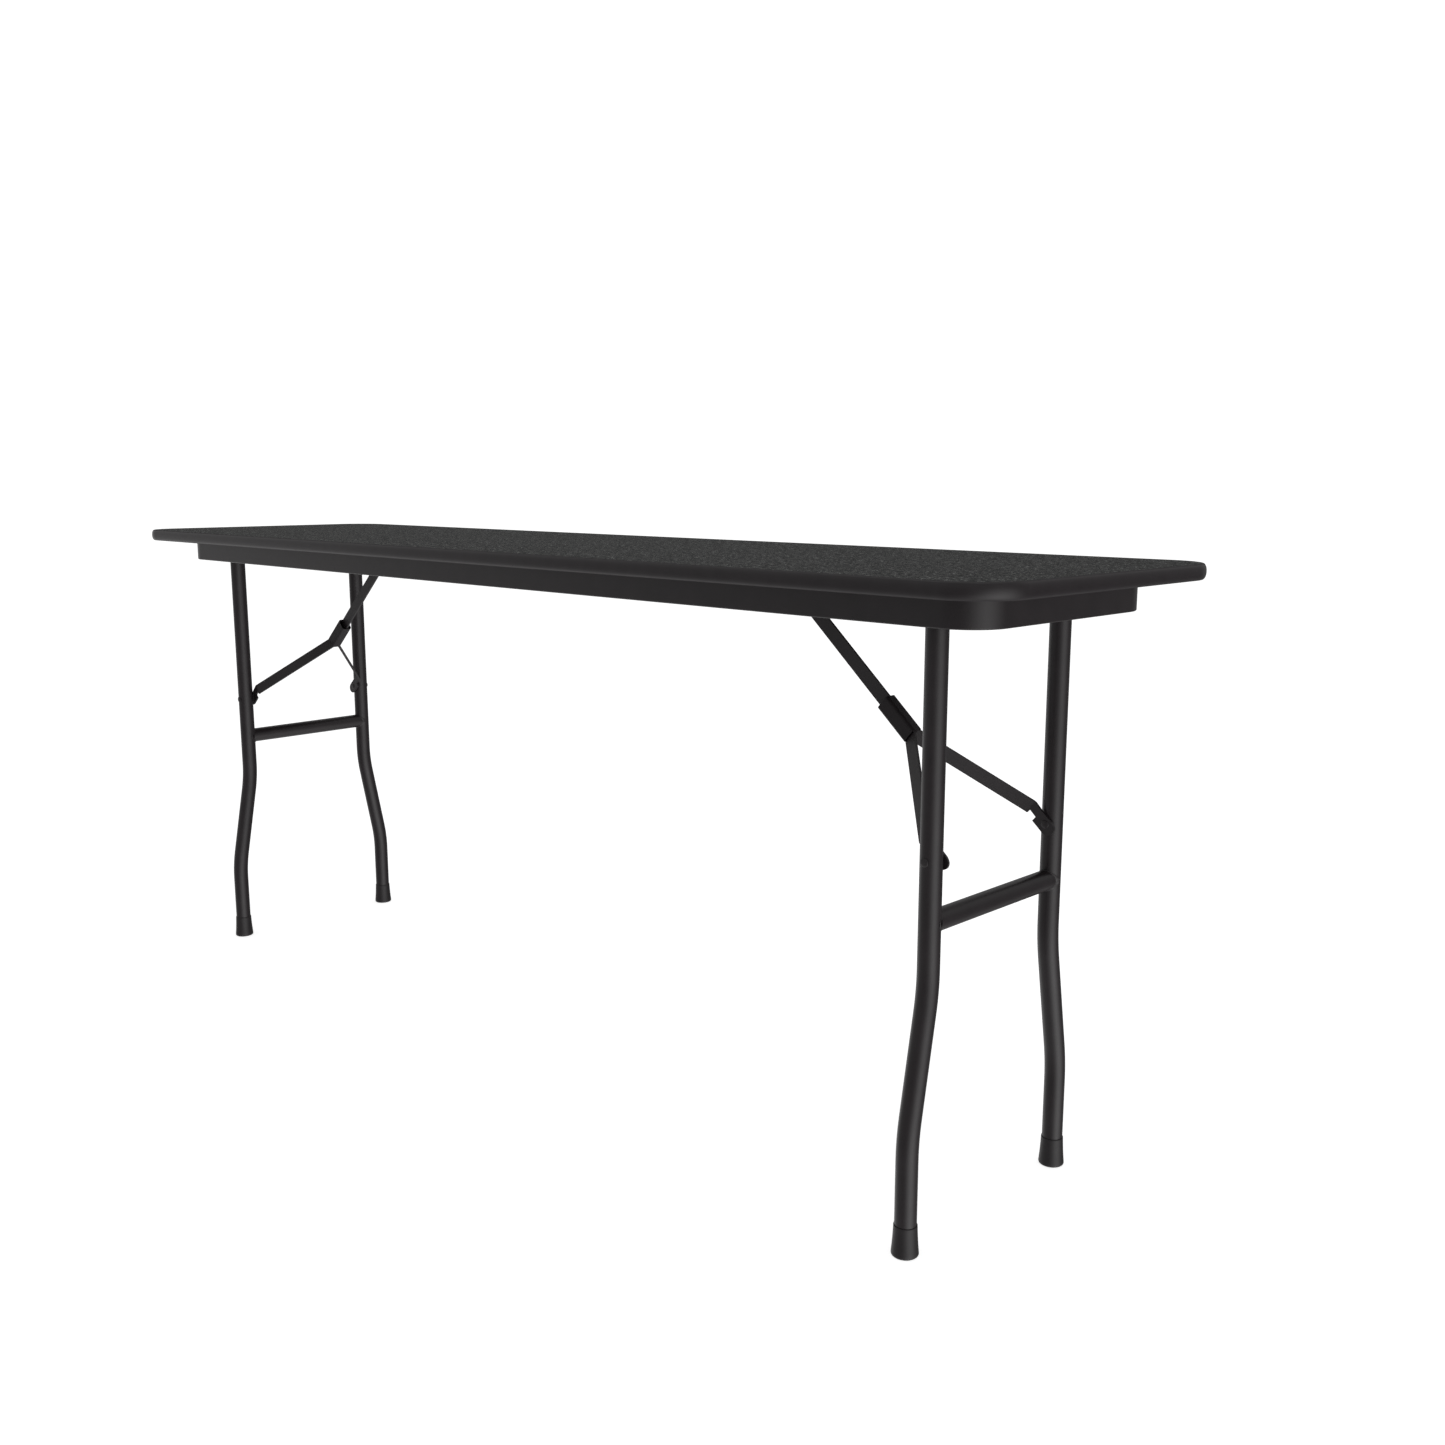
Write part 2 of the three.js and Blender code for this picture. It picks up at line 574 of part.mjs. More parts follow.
const layerInset = BAND_WIDTH + GAP;
const grooveHalf = TONGUE_THICKNESS / 2 + GAP;
const groove = inOutline(BAND_WIDTH, middleZ - grooveHalf, middleZ + grooveHalf)
  .subtract(inOutline(BAND_WIDTH + TONGUE_DEPTH + GAP, 0, HEIGHT));
const board = inOutline(layerInset, UNDERSIDE + BACKER + GAP, HEIGHT - LAMINATE - GAP).subtract(groove);
add('core_board', geometryOf(drilled(board, screwPlaces)), 'board');
const backer = inOutline(layerInset, UNDERSIDE, UNDERSIDE + BACKER);
add('backer_sheet', geometryOf(drilled(backer, screwPlaces)), 'backer');
add('top_laminate', geometryOf(inOutline(layerInset, HEIGHT - LAMINATE, HEIGHT)), 'laminate');

export default table;
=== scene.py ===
import math

import bmesh
import bpy
from mathutils import Matrix, Vector


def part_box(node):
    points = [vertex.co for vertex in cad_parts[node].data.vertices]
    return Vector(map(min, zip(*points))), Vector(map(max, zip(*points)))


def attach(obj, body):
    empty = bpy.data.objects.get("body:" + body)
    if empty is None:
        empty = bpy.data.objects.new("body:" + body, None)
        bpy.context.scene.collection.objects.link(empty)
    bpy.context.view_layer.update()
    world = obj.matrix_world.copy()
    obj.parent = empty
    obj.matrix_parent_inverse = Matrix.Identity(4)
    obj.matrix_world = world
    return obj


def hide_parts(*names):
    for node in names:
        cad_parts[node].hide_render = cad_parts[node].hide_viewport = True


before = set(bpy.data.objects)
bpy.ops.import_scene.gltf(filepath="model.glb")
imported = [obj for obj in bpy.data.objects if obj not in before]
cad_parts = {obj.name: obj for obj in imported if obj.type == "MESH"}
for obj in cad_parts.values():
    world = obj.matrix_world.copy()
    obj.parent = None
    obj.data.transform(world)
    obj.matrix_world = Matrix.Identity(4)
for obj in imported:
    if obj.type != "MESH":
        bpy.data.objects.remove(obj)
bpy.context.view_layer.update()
scene = bpy.context.scene
scene.view_settings.view_transform = "Standard"

# The camera stands off the right-hand front corner of the table, a little above its top, and
# looks slightly down along the table.
camera_data = bpy.data.cameras.new("camera")
camera_data.lens = 35.0
camera_data.sensor_width = 36.0
camera = bpy.data.objects.new("camera", camera_data)
camera.location = (1.6368, -1.2956, 0.8452)
camera.rotation_euler = (math.radians(80.0), 0.0, math.radians(45.0))
scene.collection.objects.link(camera)
scene.camera = camera

# ---------------------------------------------------------------------------------------------
# The laminate is one sheet of high-pressure plastic with a charcoal speckle, glued over the
# whole top. Its edge is trimmed flush with the band, with a hairline joint between the two.
top_length = 1.829
top_width = 0.462
top_height = 0.7484
top_thickness = 0.0182
top_corner = 0.063
corner_segments = 40
band_width = 0.0046
joint_gap = 0.00025
laminate_sheet = 0.0009
laminate_edge = 0.0002


def block(size, middle):
    """A rectangular block, to start a shape from."""
    shape = bmesh.new()
    bmesh.ops.create_cube(shape, size=1.0)
    bmesh.ops.scale(shape, vec=size, verts=shape.verts)
    bmesh.ops.translate(shape, vec=middle, verts=shape.verts)
    return shape


def edges_along(shape, axis, shortest):
    """The edges that run more than shortest along an axis: 0 is X, 1 is Y and 2 is Z."""
    return [e for e in shape.edges if abs(e.verts[0].co[axis] - e.verts[1].co[axis]) > shortest]


def rounded(shape, geometry, radius, segments, affect="EDGES"):
    bmesh.ops.bevel(shape, geom=geometry, offset=radius, offset_type="OFFSET", affect=affect,
                    segments=segments, profile=0.5, material=-1)


def round_cornered_plate(length, width, low, high, corner, segments):
    plate = block((length, width, high - low), (0, 0, (high + low) / 2))
    rounded(plate, edges_along(plate, 2, (high - low) / 2), corner, segments)
    return plate


def new_finish(name, colour, roughness, metal=0.0, specular=0.5):
    """A plain finish, with its nodes and the place that its patterns are measured from."""
    material = bpy.data.materials.new(name)
    material.use_nodes = True
    tree = material.node_tree
    shader = tree.nodes["Principled BSDF"]
    shader.inputs["Base Color"].default_value = (*colour, 1.0)
    shader.inputs["Roughness"].default_value = roughness
    shader.inputs["Metallic"].default_value = metal
    shader.inputs["Specular IOR Level"].default_value = specular
    where = tree.nodes.new("ShaderNodeTexCoord")
    return material, tree, shader, where.outputs["Object"]


def noise(tree, where, scale, detail=2.0, roughness=0.5):
    texture = tree.nodes.new("ShaderNodeTexNoise")
    texture.inputs["Scale"].default_value = scale
    texture.inputs["Detail"].default_value = detail
    texture.inputs["Roughness"].default_value = roughness
    tree.links.new(where, texture.inputs["Vector"])
    return texture.outputs["Fac"]


def cells(tree, where, scale):
    texture = tree.nodes.new("ShaderNodeTexVoronoi")
    texture.inputs["Scale"].default_value = scale
    tree.links.new(where, texture.inputs["Vector"])
    return texture


def ramp(tree, value, stops):
    colours = tree.nodes.new("ShaderNodeValToRGB")
    elements = colours.color_ramp.elements
    while len(elements) < len(stops):
        elements.new(0.5)
    for element, (position, colour) in zip(elements, stops):
        element.position = position
        element.color = (*colour, 1.0)
    tree.links.new(value, colours.inputs["Fac"])
    return colours.outputs["Color"]


def grey(level):
    return (level, level, level)


def combined(tree, way, first, *others):
    """Multiplies or adds colours together."""
    for other in others:
        mix = tree.nodes.new("ShaderNodeMix")
        mix.data_type = "RGBA"
        mix.blend_type = way
        mix.inputs[0].default_value = 1.0
        tree.links.new(first, mix.inputs[6])
        tree.links.new(other, mix.inputs[7])
        first = mix.outputs[2]
    return first


def height_bump(tree, shader, value, depth, strength):
    """Adds a fine relief over any that the finish already has."""
    bump = tree.nodes.new("ShaderNodeBump")
    bump.inputs["Strength"].default_value = strength
    bump.inputs["Distance"].default_value = depth
    tree.links.new(value, bump.inputs["Height"])
    if shader.inputs["Normal"].is_linked:
        earlier = shader.inputs["Normal"].links[0].from_socket
        tree.links.new(earlier, bump.inputs["Normal"])
    tree.links.new(bump.outputs["Normal"], shader.inputs["Normal"])


def spread(tree, value, low, high, start=0.0, finish=1.0):
    """Spreads a value that runs from start to finish over low to high."""
    span = tree.nodes.new("ShaderNodeMapRange")
    span.inputs["From Min"].default_value = start
    span.inputs["From Max"].default_value = finish
    span.inputs["To Min"].default_value = low
    span.inputs["To Max"].default_value = high
    tree.links.new(value, span.inputs["Value"])
    return span.outputs["Result"]


def set_piece(shape, name, body, material, stands_for=(), sheet=0.0, sheet_side=0.0, edge=0.0,
              edge_segments=2, sharp=35.0):
    """Makes the finished piece; sheet gives a skin its thickness and edge eases its corners."""
    mesh = bpy.data.meshes.new(name)
    shape.to_mesh(mesh)
    shape.free()
    mesh.materials.append(material)
    mesh.polygons.foreach_set("use_smooth", [True] * len(mesh.polygons))
    mesh.set_sharp_from_angle(angle=math.radians(sharp))
    piece = bpy.data.objects.new(name, mesh)
    scene.collection.objects.link(piece)
    if sheet:
        wall = piece.modifiers.new("sheet", "SOLIDIFY")
        wall.thickness = sheet
        wall.offset = sheet_side
        wall.use_even_offset = True
    if edge:
        ease = piece.modifiers.new("eased_edges", "BEVEL")
        ease.width = edge
        ease.segments = edge_segments
        ease.limit_method = "ANGLE"
        ease.angle_limit = math.radians(sharp)
        even = piece.modifiers.new("even_shading", "WEIGHTED_NORMAL")
        even.keep_sharp = False
    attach(piece, body)
    if stands_for:
        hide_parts(*stands_for)


speckle, tree, shader, where = new_finish("speckled_laminate", grey(0.045), 0.6, specular=0.04)
fleck = tree.nodes.new("ShaderNodeSeparateColor")
tree.links.new(cells(tree, where, 950.0).outputs["Color"], fleck.inputs["Color"])
flecks = ramp(tree, fleck.outputs["Red"], [
    (0.0, (0.006, 0.0065, 0.0065)),
    (0.20, (0.016, 0.0165, 0.0165)),
    (0.55, (0.034, 0.0345, 0.0340)),
    (0.82, (0.068, 0.0690, 0.0675)),
    (0.95, (0.165, 0.1670, 0.1630)),
])
grains = ramp(tree, noise(tree, where, 2600.0, 2.0), [(0.35, grey(0.62)), (0.68, grey(1.35))])
clusters = ramp(tree, noise(tree, where, 210.0, 4.0, 0.7), [
    (0.37, grey(0.20)),
    (0.50, grey(1.0)),
    (0.63, grey(2.90)),
])
clouds = ramp(tree, noise(tree, where, 95.0, 3.0), [(0.3, grey(0.56)), (0.7, grey(1.31))])
tree.links.new(combined(tree, "MULTIPLY", flecks, grains, clusters, clouds), shader.inputs["Base Color"])
tree.links.new(spread(tree, noise(tree, where, 700.0, 3.0), 0.55, 0.72), shader.inputs["Roughness"])
height_bump(tree, shader, noise(tree, where, 1400.0, 2.0), 0.00006, 0.5)

laminate_inset = band_width + joint_gap
laminate = round_cornered_plate(top_length - 2 * laminate_inset, top_width - 2 * laminate_inset,
                                top_height - laminate_sheet, top_height,
                                top_corner - laminate_inset, corner_segments)
set_piece(laminate, "laminate", "table", speckle, ["top_laminate"], edge=laminate_edge)

# ---------------------------------------------------------------------------------------------
# The edge band is a soft black vinyl T-mould, pressed into a groove all round the board. Its face
# is a full bullnose, and it meets the laminate and the backer with a fine line.
bullnose_inset = 0.0042
bullnose_flat = 0.0004
bullnose_steps = 12
rim_drop = 0.00015
mid_height = top_height - top_thickness / 2
nose_height = (top_thickness - bullnose_flat) / 2


def step_in(shape, faces, inwards, outwards):
    bmesh.ops.inset_region(shape, faces=faces, use_even_offset=True, use_boundary=True,
                           thickness=inwards, depth=outwards)


def roll_in(shape, faces, inwards, outwards, steps):
    """Carries the faces round a quarter of an ellipse."""
    for step in range(steps):
        lower = math.pi / 2 * step / steps
        upper = math.pi / 2 * (step + 1) / steps
        step_in(shape, faces, inwards * (math.cos(lower) - math.cos(upper)),
                outwards * (math.sin(upper) - math.sin(lower)))


band = round_cornered_plate(top_length, top_width, mid_height - bullnose_flat / 2,
                            mid_height + bullnose_flat / 2, top_corner, corner_segments)
faces = [f for f in band.faces if abs(f.normal.z) > 0.9]
roll_in(band, faces, bullnose_inset, nose_height, bullnose_steps)
step_in(band, faces, band_width - bullnose_inset - rim_drop, 0.0)
step_in(band, faces, rim_drop, -rim_drop)
bmesh.ops.delete(band, geom=faces, context="FACES_ONLY")
bmesh.ops.bridge_loops(band, edges=[e for e in band.edges if e.is_boundary])
bmesh.ops.recalc_face_normals(band, faces=band.faces)

vinyl, tree, shader, where = new_finish("satin_vinyl", (0.0175, 0.0138, 0.0157), 0.36, specular=0.42)
mottle = ramp(tree, noise(tree, where, 60.0, 4.0), [
    (0.3, (0.0155, 0.0120, 0.0138)),
    (0.7, (0.0200, 0.0160, 0.0180)),
])
tree.links.new(mottle, shader.inputs["Base Color"])
# The band is duller along its upper and lower rims, where it was trimmed to the sheets.
place = tree.nodes.new("ShaderNodeSeparateXYZ")
tree.links.new(where, place.inputs["Vector"])
trimmed = ramp(tree, spread(tree, place.outputs["Z"], 0.0, 1.0, top_height - top_thickness, top_height), [
    (0.00, grey(0.68)),
    (0.08, grey(0.25)),
    (0.92, grey(0.25)),
    (0.985, grey(0.68)),
])
uneven = spread(tree, noise(tree, where, 220.0, 4.0), 0.0, 0.12)
tree.links.new(combined(tree, "ADD", trimmed, uneven), shader.inputs["Roughness"])
height_bump(tree, shader, noise(tree, where, 1800.0, 2.0), 0.00003, 0.5)
height_bump(tree, shader, noise(tree, where, 25.0, 1.0), 0.0003, 0.25)
set_piece(band, "bullnose_band", "table", vinyl, ["edge_band"], sharp=30.0)

# ---------------------------------------------------------------------------------------------
# The board is pressed from wood chips, with a thin dark backer sheet glued under it to keep it
# flat. The board shows only in the hairline joint.
chips, tree, shader, where = new_finish("pressed_chips", (0.38, 0.26, 0.15), 0.85)
tree.links.new(ramp(tree, noise(tree, where, 380.0, 5.0, 0.7), [
    (0.25, (0.20, 0.12, 0.065)),
    (0.5, (0.38, 0.26, 0.15)),
    (0.75, (0.56, 0.42, 0.27)),
]), shader.inputs["Base Color"])
height_bump(tree, shader, cells(tree, where, 420.0).outputs["Distance"], 0.0003, 0.6)

backing, tree, shader, where = new_finish("dark_backer", (0.030, 0.026, 0.023), 0.62)
stretch = tree.nodes.new("ShaderNodeMapping")
stretch.inputs["Scale"].default_value = (0.25, 1.0, 1.0)
tree.links.new(where, stretch.inputs["Vector"])
fibres = noise(tree, stretch.outputs["Vector"], 650.0, 4.0, 0.65)
blotches = noise(tree, where, 7.0, 4.0)
fibre_tone = ramp(tree, fibres, [(0.3, (0.023, 0.020, 0.018)), (0.7, (0.040, 0.035, 0.031))])
blotch_tone = ramp(tree, blotches, [(0.3, grey(0.86)), (0.7, grey(1.12))])
tree.links.new(combined(tree, "MULTIPLY", fibre_tone, blotch_tone), shader.inputs["Base Color"])
tree.links.new(spread(tree, blotches, 0.52, 0.7), shader.inputs["Roughness"])
height_bump(tree, shader, fibres, 0.00005, 0.6)

for node, material in (("core_board", chips), ("backer_sheet", backing)):
    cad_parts[node].data.materials.clear()
    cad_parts[node].data.materials.append(material)

# ---------------------------------------------------------------------------------------------
# The apron is two lengths of black powder-coated sheet steel, rolled to a channel with a flange
# that is screwed up under the board and a narrow hem along the lower edge. They butt together at
# two seams, with a plate riveted behind each.
apron_half_length = 0.8596
apron_half_width = 0.1684
apron_corner = 0.048
apron_corner_segments = 32
apron_low = 0.6954
apron_high = 0.7299
apron_sheet = 0.0012
apron_flange = 0.012
apron_hem = 0.004
bend_radius = 0.0018
bend_steps = 4
seam_past_corner = 0.012
seam_x = apron_half_length - apron_corner - seam_past_corner
seam_y = -apron_half_width + apron_corner + seam_past_corner
seam_gap = 0.0003
splice_edge = 0.0004
splice_rivet_radius = 0.0026
splice_rivet_rise = 0.0011
splice_rivet_sunk = 0.0002
splice_rivet_row = 0.006
splice_rivet_places = (-0.36, -0.12, 0.14, 0.38)


def coat(name, colour, roughness, peel_scale=900.0, peel_depth=0.00006, grit=0.0, shine=0.5):
    """Powder coat: a fine orange peel over a colour that varies a little from place to place."""
    material, tree, shader, where = new_finish(name, colour, roughness, specular=shine)
    darker = tuple(c * 0.86 for c in colour)
    lighter = tuple(c * 1.16 for c in colour)
    patches = ramp(tree, noise(tree, where, 35.0, 4.0), [(0.3, darker), (0.7, lighter)])
    grains = ramp(tree, noise(tree, where, 2400.0, 2.0), [
        (0.35, grey(0.8 - grit)),
        (0.65, grey(1.2 + grit)),
    ])
    tree.links.new(combined(tree, "MULTIPLY", patches, grains), shader.inputs["Base Color"])
    tree.links.new(spread(tree, noise(tree, where, 140.0, 4.0), roughness - 0.06, roughness + 0.07),
                   shader.inputs["Roughness"])
    height_bump(tree, shader, noise(tree, where, peel_scale, 2.0), peel_depth, 0.5 + grit)
    return material


def cut_through(shape, point, normal):
    """Cuts new edges right through a shape, and keeps both sides."""
    bmesh.ops.bisect_plane(shape, geom=shape.verts[:] + shape.edges[:] + shape.faces[:],
                           plane_co=point, plane_no=normal)


def apron_skin():
    """The whole loop of the apron, with no thickness yet."""
    skin = round_cornered_plate(2 * apron_half_length, 2 * apron_half_width, apron_low + bend_radius,
                                apron_high - bend_radius, apron_corner, apron_corner_segments)
    for way, turn_in in ((1, apron_flange), (-1, apron_hem)):
        faces = [f for f in skin.faces if f.normal.z * way > 0.9]
        roll_in(skin, faces, bend_radius, bend_radius, bend_steps)
        step_in(skin, faces, turn_in - bend_radius, 0.0)
        bmesh.ops.delete(skin, geom=faces, context="FACES_ONLY")
    return skin


powder_coat = coat("powder_coated_steel", (0.0185, 0.0143, 0.0163), 0.31)
for rail, way in (("front", 1), ("back", -1)):
    skin = apron_skin()
    cut_x = seam_x + way * seam_gap / 2
    cut_y = seam_y - way * seam_gap / 2
    cut_through(skin, (cut_x, 0, 0), (1, 0, 0))
    cut_through(skin, (0, cut_y, 0), (0, 1, 0))
    behind = {f for f in skin.faces
              if f.calc_center_median().x < cut_x and f.calc_center_median().y > cut_y}
    spare = [f for f in skin.faces if (f in behind) == (rail == "front")]
    bmesh.ops.delete(skin, geom=spare, context="FACES")
    set_piece(skin, f"apron_{rail}", "table", powder_coat, [f"apron_{rail}_rail"],
              sheet=apron_sheet, sheet_side=-1.0, edge=0.00025)


def turned(profile, steps):
    """Turns a half profile of (radius, height) about the Z axis."""
    shape = bmesh.new()
    points = [shape.verts.new((radius, 0, height)) for radius, height in profile]
    line = [shape.edges.new(pair) for pair in zip(points, points[1:])]
    bmesh.ops.spin(shape, geom=points + line, cent=(0, 0, 0), axis=(0, 0, 1), dvec=(0, 0, 0),
                   angle=2 * math.pi, steps=steps, use_merge=True)
    bmesh.ops.remove_doubles(shape, verts=shape.verts, dist=1e-6)
    bmesh.ops.recalc_face_normals(shape, faces=shape.faces)
    return shape


def dome(radius, height, steps=6):
    """Half profile of a shallow dome, from its rim to its crown."""
    angles = [math.pi / 2 * step / steps for step in range(steps + 1)]
    return [(radius * math.cos(a), height * math.sin(a)) for a in angles]


def joined(shape, other, move):
    """Adds a copy of other to shape after moving it."""
    mesh = bpy.data.meshes.new("joined")
    other.to_mesh(mesh)
    mesh.transform(move)
    shape.from_mesh(mesh)
    bpy.data.meshes.remove(mesh)


for node, name, out in (("apron_splice_back", "back", Vector((0, -1, 0))),
                        ("apron_splice_left", "left", Vector((1, 0, 0)))):
    low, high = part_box(node)
    size = high - low
    middle = (high + low) / 2
    plate = block(size, middle)
    rounded(plate, plate.edges[:], splice_edge, segments=2)
    head = turned([(0.0, -splice_rivet_sunk), (splice_rivet_radius, -splice_rivet_sunk)]
                  + dome(splice_rivet_radius, splice_rivet_rise), steps=20)
    along = Vector((abs(out.y), abs(out.x), 0))
    lie = out.to_track_quat("Z", "Y").to_matrix().to_4x4()
    face = middle + out * size.dot(Vector(map(abs, out))) / 2
    for share in splice_rivet_places:
        for level in (-splice_rivet_row, splice_rivet_row):
            centre = face + along * share * max(size.x, size.y) + Vector((0, 0, level))
            joined(plate, head, Matrix.Translation(centre) @ lie)
    head.free()
    set_piece(plate, f"apron_splice_plate_{name}", "table", powder_coat, [node])

# ---------------------------------------------------------------------------------------------
# Pan-head wood screws with a cross recess, zinc plated, hold the apron and the brackets up under
# the board.
head_radius = 0.0040
head_height = 0.0021
head_rim = 0.35
crown_share = 0.62
shank_radius = 0.0018
screw_length = 0.012
recess_arm = 0.00045
recess_reach = 0.0019
recess_depth = 0.0012
recess_taper = 0.6
head_clearance = 0.0003
apron_screw_spacing = 0.28
end_screw_y = 0.05
bracket_screw_turn = 0.7
apron_screw_turn = 1.3

zinc, tree, shader, where = new_finish("zinc_plate", (0.42, 0.42, 0.40), 0.34, metal=1.0)
tree.links.new(ramp(tree, noise(tree, where, 500.0, 4.0), [
    (0.3, (0.33, 0.33, 0.31)),
    (0.7, (0.50, 0.50, 0.47)),
]), shader.inputs["Base Color"])
tree.links.new(spread(tree, noise(tree, where, 900.0, 3.0), 0.25, 0.5), shader.inputs["Roughness"])
height_bump(tree, shader, noise(tree, where, 1500.0, 2.0), 0.00003, 0.5)


def crown_faces(shape):
    """The flat faces in the middle of the screw's head, where the recess is."""
    return [f for f in shape.faces
            if f.normal.z < -0.99 and f.calc_center_median().z < -head_height * 0.9]


def pan_head_screw():
    """One screw, head down, with the underside of its head at the origin."""
    profile = [(0.0, screw_length), (0.0004, 0.0112), (0.0016, 0.009), (shank_radius, 0.0)]
    profile += [(head_radius, 0.0), (head_radius, -head_height * head_rim)]
    profile += [(head_radius * (crown_share + (1 - crown_share) * math.cos(a)),
                 -head_height * (head_rim + (1 - head_rim) * math.sin(a)))
                for a in (math.radians(30), math.radians(60), math.radians(90))]
    shape = turned(profile + [(0.0, -head_height)], steps=24)
    bmesh.ops.dissolve_faces(shape, faces=crown_faces(shape))
    for offset in (-recess_reach, -recess_arm, recess_arm, recess_reach):
        for normal in ((1, 0, 0), (0, 1, 0)):
            crown = crown_faces(shape)
            edges = {e for f in crown for e in f.edges}
            verts = {v for f in crown for v in f.verts}
            bmesh.ops.bisect_plane(shape, geom=crown + list(edges) + list(verts),
                                   plane_co=Vector(normal) * offset, plane_no=normal)
    cross = []
    for face in crown_faces(shape):
        middle = face.calc_center_median()
        near, far = sorted((abs(middle.x), abs(middle.y)))
        if near < recess_arm and far < recess_reach:
            cross.append(face)
    sunk = bmesh.ops.extrude_face_region(shape, geom=cross)["geom"]
    bmesh.ops.delete(shape, geom=cross, context="FACES")
    floor_points = [v for v in sunk if isinstance(v, bmesh.types.BMVert)]
    bmesh.ops.translate(shape, verts=floor_points, vec=(0, 0, recess_depth))
    bmesh.ops.scale(shape, verts=floor_points, vec=(recess_taper, recess_taper, 1.0))
    bmesh.ops.recalc_face_normals(shape, faces=shape.faces)
    return shape


def set_screw(name, place, turn, stands_for=()):
    screw = pan_head_screw()
    screw.transform(Matrix.Translation(place) @ Matrix.Rotation(turn, 4, "Z"))
    set_piece(screw, name, "table", zinc, stands_for, sharp=40.0)


# The recesses all point different ways, as screws do once they are driven home.
for index, node in enumerate(sorted(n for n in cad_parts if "screw" in n)):
    low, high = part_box(node)
    seat = (low + high) / 2
    seat.z = low.z + head_height
    set_screw(f"{node}_head", seat, bracket_screw_turn * index, [node])
apron_screw_z = apron_high - apron_sheet - head_clearance
apron_screw_y = apron_half_width - apron_flange / 2
extra = [(apron_screw_spacing * k, side * apron_screw_y) for k in (-2, -1, 1, 2) for side in (-1, 1)]
extra += [(side * (apron_half_length - apron_flange / 2), end_screw_y * side) for side in (-1, 1)]
for index, (x, y) in enumerate(extra):
    set_screw(f"apron_fixing_screw_{index + 1}", Vector((x, y, apron_screw_z)),
              apron_screw_turn * index)

# ---------------------------------------------------------------------------------------------
# Each leg frame hangs on a round steel rail, which turns in two straps of bent sheet steel. The
# straps are screwed up under the board just inside the apron.
rail_height = 0.713
rail_radius = 0.011
rail_half = 0.150
rail_wall = 0.0014
rail_play = 0.00035
leg_x = 0.7729
tube_end_edge = 0.0003
strap_width = 0.016
strap_y = 0.1405
strap_sheet = 0.0016
strap_bore = rail_radius + rail_play
strap_flange = 0.014
strap_fold = 0.0016
strap_tip_radius = 0.0035
strap_edge = 0.0003
ends = (("right", 1), ("left", -1))
rows = (("front", -1), ("back", 1))


def drawn_out(shape, edges, moves):
    """Draws a section out along straight runs (a vector) and bends (centre, axis, angle, steps)."""
    for move in moves:
        if isinstance(move, Vector):
            made = bmesh.ops.extrude_edge_only(shape, edges=edges)["geom"]
            points = {v for v in made if isinstance(v, bmesh.types.BMVert)}
            bmesh.ops.translate(shape, vec=move, verts=list(points))
            edges = [e for e in made if isinstance(e, bmesh.types.BMEdge) and e.is_boundary
                     and points.issuperset(e.verts)]
        else:
            centre, axis, angle, steps = move
            points = list({v for e in edges for v in e.verts})
            made = bmesh.ops.spin(shape, geom=points + edges, cent=centre, axis=axis, dvec=(0, 0, 0),
                                  angle=angle, steps=steps, use_merge=False)["geom_last"]
            edges = [e for e in made if isinstance(e, bmesh.types.BMEdge)]


def round_section(shape, centre, radius, sides, turn=Matrix.Identity(4)):
    ring = bmesh.ops.create_circle(shape, cap_ends=False, radius=radius, segments=sides,
                                   matrix=Matrix.Translation(centre) @ turn)["verts"]
    return list({e for v in ring for e in v.link_edges})


across_y = Matrix.Rotation(math.pi / 2, 4, "X")
for frame_name, end in ends:
    rail = bmesh.new()
    section = round_section(rail, (end * leg_x, -rail_half, rail_height), rail_radius, 40, across_y)
    drawn_out(rail, section, [Vector((0, 2 * rail_half, 0))])
    bmesh.ops.recalc_face_normals(rail, faces=rail.faces)
    set_piece(rail, f"{frame_name}_hinge_rail", f"{frame_name}_leg_frame", powder_coat,
              [f"{frame_name}_pivot_rail"], sheet=rail_wall, sheet_side=-1.0, edge=tube_end_edge)
    for row, side in rows:
        strap = bmesh.new()
        inner = strap_bore + strap_sheet / 2
        start_x = -(inner + strap_sheet / 2 + strap_flange)
        level = apron_high - strap_sheet / 2
        corners = [strap.verts.new((start_x, y, level)) for y in (-strap_width / 2, strap_width / 2)]
        run = -inner - strap_fold - start_x
        drop = level - strap_fold - rail_height
        drawn_out(strap, [strap.edges.new(corners)], [
            Vector((run, 0, 0)),
            ((-inner - strap_fold, 0, level - strap_fold), (0, 1, 0), math.pi / 2, 4),
            Vector((0, 0, -drop)),
            ((0, 0, rail_height), (0, 1, 0), -math.pi, 24),
            Vector((0, 0, drop)),
            ((inner + strap_fold, 0, level - strap_fold), (0, 1, 0), math.pi / 2, 4),
            Vector((run, 0, 0)),
        ])
        bmesh.ops.remove_doubles(strap, verts=strap.verts, dist=1e-6)
        tips = [v for v in strap.verts if len(v.link_edges) == 2 and abs(v.co.x) > abs(start_x) - 1e-5]
        rounded(strap, tips, strap_tip_radius, segments=5, affect="VERTICES")
        bmesh.ops.recalc_face_normals(strap, faces=strap.faces)
        bmesh.ops.translate(strap, vec=(end * leg_x, side * strap_y, 0), verts=strap.verts)
        set_piece(strap, f"{frame_name}_{row}_hinge_strap", "table", powder_coat,
                  [f"{frame_name}_{row}_pivot_bracket"], sheet=strap_sheet, edge=strap_edge)

